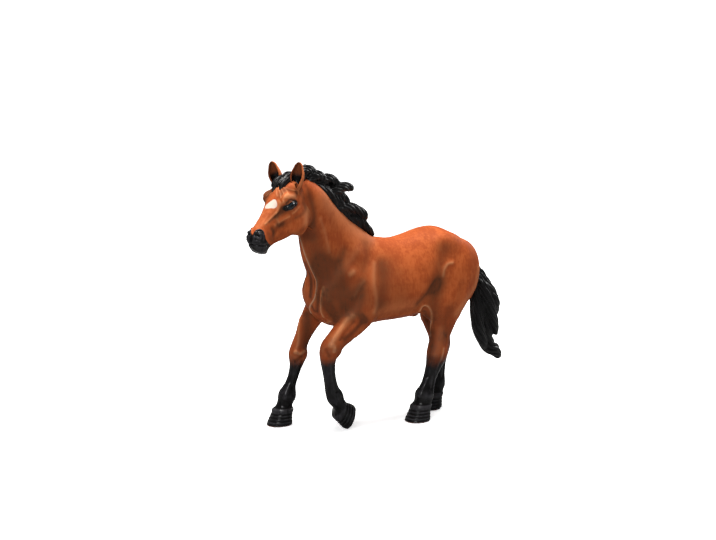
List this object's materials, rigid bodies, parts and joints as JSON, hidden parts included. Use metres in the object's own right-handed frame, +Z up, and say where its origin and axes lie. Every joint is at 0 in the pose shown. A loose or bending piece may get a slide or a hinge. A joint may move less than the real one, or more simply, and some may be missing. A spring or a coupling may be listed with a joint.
{
  "type": "toy horse figure",
  "caption": "Small moulded plastic farm horse stepping forward with a foreleg on its toe, a curled mane and a hanging tail.",
  "frame": {"origin": "middle of the figure's bounding box on the ground that it stands on", "axes": "-X towards the nose, -Y towards the horse's left side, +Z up"},
  "size_m": [0.1252, 0.0378, 0.1088],
  "materials": {
    "body_left_shell": "satin bay paint on soft plastic",
    "body_right_shell": "satin bay paint on soft plastic",
    "head": "satin bay paint, black muzzle, white star, glossy eyes",
    "left_ear": "satin bay paint, dark inside",
    "right_ear": "satin bay paint, dark inside",
    "forelock": "satin black paint",
    "mane": "satin black paint",
    "tail": "satin black paint",
    "left_foreleg": "satin bay paint, black below the knee",
    "right_foreleg": "satin bay paint, black below the knee",
    "left_hind_leg": "satin bay paint, black below the hock",
    "right_hind_leg": "satin bay paint, black below the hock"
  },
  "bodies": {
    "root": {"body_left_shell": "body_left_shell", "body_right_shell": "body_right_shell", "head": "head", "left_ear": "left_ear", "right_ear": "right_ear", "forelock": "forelock", "mane": "mane", "tail": "tail", "left_foreleg": "left_foreleg", "right_foreleg": "right_foreleg", "left_hind_leg": "left_hind_leg", "right_hind_leg": "right_hind_leg"}
  },
  "joints": []
}
